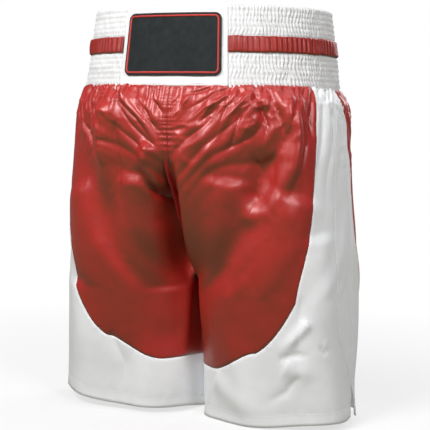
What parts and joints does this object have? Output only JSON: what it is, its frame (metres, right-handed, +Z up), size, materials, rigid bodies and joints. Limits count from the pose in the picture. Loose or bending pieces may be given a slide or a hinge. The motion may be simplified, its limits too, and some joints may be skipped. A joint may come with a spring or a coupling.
{
  "type": "boxing shorts",
  "caption": "Satin boxing trunks with a tall shirred elastic waistband, blank front patch, contrast side and hem panels, side vents and an inner drawcord.",
  "frame": {"origin": "on the plane of the two hems, midway between the legs and below the middle of the waistband", "axes": "+Z up from hem to waistband, -Y towards the front of the garment, +X towards the wearer's left"},
  "size_m": [0.4312, 0.2802, 0.545],
  "materials": {
    "white_satin": "smooth satin weave, soft sheen",
    "red_satin": "bright satin weave, strong soft sheen",
    "shirred_white": "satin shirred over elastic in rows of stitching",
    "facing_white": "plain matt weave",
    "ribbon_red": "satin ribbon, puckered",
    "elastic_white": "knitted elastic, matt",
    "seam_red": "folded, double stitched",
    "seam_white": "folded, double stitched",
    "cord_white": "braided cord",
    "cord_tip": "satin",
    "eyelet_metal": "satin",
    "patch_black": "merrowed edge, matt",
    "patch_field": "twill, matt",
    "outline_red": "raised satin stitch",
    "label_white": "woven, matt"
  },
  "bodies": {
    "waist_and_seat": {"waistband_casing": "shirred_white", "waistband_front_panel": "shirred_white", "waistband_facing": "facing_white", "waistband_elastic_upper": "elastic_white", "waistband_elastic_lower": "elastic_white", "waistband_stripe": "ribbon_red", "drawcord_in_channel": "cord_white", "patch_backing": "patch_black", "patch_outline": "outline_red", "patch_field": "patch_field", "front_rise_seam": "seam_red", "back_rise_seam": "seam_red", "drawcord_eyelet_left": "eyelet_metal", "front_panel_seat_left": "red_satin", "side_panel_front_seat_left": "white_satin", "side_panel_back_seat_left": "white_satin", "back_panel_seat_left": "red_satin", "drawcord_eyelet_right": "eyelet_metal", "front_panel_seat_right": "red_satin", "side_panel_front_seat_right": "white_satin", "side_panel_back_seat_right": "white_satin", "back_panel_seat_right": "red_satin"},
    "left_leg": {"front_panel_leg_left": "red_satin", "back_panel_leg_left": "red_satin", "side_panel_front_leg_left": "white_satin", "side_panel_back_leg_left": "white_satin", "inseam_left": "seam_white"},
    "right_leg": {"front_panel_leg_right": "red_satin", "back_panel_leg_right": "red_satin", "side_panel_front_leg_right": "white_satin", "side_panel_back_leg_right": "white_satin", "inseam_right": "seam_white"},
    "drawcord_left": {"drawcord_end_left": "cord_white", "drawcord_tip_left": "cord_tip"},
    "drawcord_right": {"drawcord_end_right": "cord_white", "drawcord_tip_right": "cord_tip"},
    "label": {"care_label": "label_white"}
  },
  "joints": [
    {"name": "left_leg_swing", "type": "hinge", "parent": "waist_and_seat", "child": "left_leg", "pos_m": [0.1065, 0, 0.15], "axis": [-1, 0, 0], "range_deg": [-12, 20]},
    {"name": "right_leg_swing", "type": "hinge", "parent": "waist_and_seat", "child": "right_leg", "pos_m": [-0.1065, 0, 0.15], "axis": [-1, 0, 0], "range_deg": [-12, 20]},
    {"name": "drawcord_left_pull", "type": "slide", "parent": "waist_and_seat", "child": "drawcord_left", "axis": [0, 0, -1], "range_m": [0, 0.06]},
    {"name": "drawcord_right_pull", "type": "slide", "parent": "waist_and_seat", "child": "drawcord_right", "axis": [0, 0, -1], "range_m": [0, 0.06]},
    {"name": "care_label_flip", "type": "hinge", "parent": "waist_and_seat", "child": "label", "pos_m": [0, 0.1243, 0.4429], "axis": [-1, 0, 0], "range_deg": [0, 80]}
  ]
}
